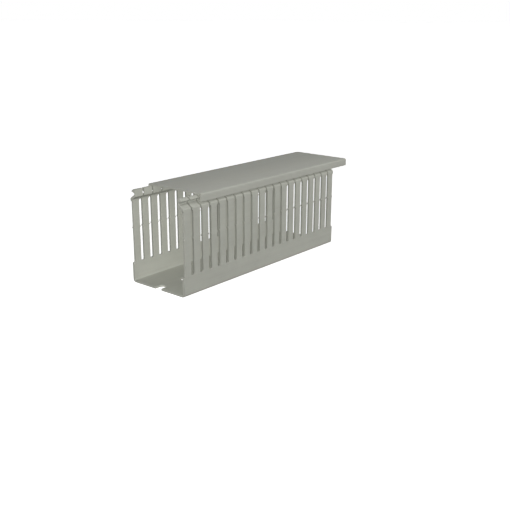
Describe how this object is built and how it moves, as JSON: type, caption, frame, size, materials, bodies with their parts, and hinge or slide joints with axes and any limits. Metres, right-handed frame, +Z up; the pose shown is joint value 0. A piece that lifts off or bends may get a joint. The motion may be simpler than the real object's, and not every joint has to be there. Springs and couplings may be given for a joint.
{
  "type": "slotted wire duct",
  "caption": "Grey plastic slotted wiring duct: open channel with finger slots down both sides and a hooked clip-on cover that slides along the top.",
  "frame": {"origin": "middle of the floor's underside, halfway along the duct and between the side walls", "axes": "+X along the duct, the way the cover is slid out; +Y to the left side wall; +Z up out of the channel"},
  "size_m": [0.2755, 0.075, 0.1],
  "materials": {
    "duct_plastic": "matt extruded rigid PVC",
    "cover_plastic": "matt extruded rigid PVC"
  },
  "bodies": {
    "duct": {"duct_base": "duct_plastic"},
    "cover": {"cover": "cover_plastic"}
  },
  "joints": [
    {"name": "cover_slide", "type": "slide", "parent": "duct", "child": "cover", "axis": [1, 0, 0], "range_m": [-0.2755, 0.2245]}
  ]
}
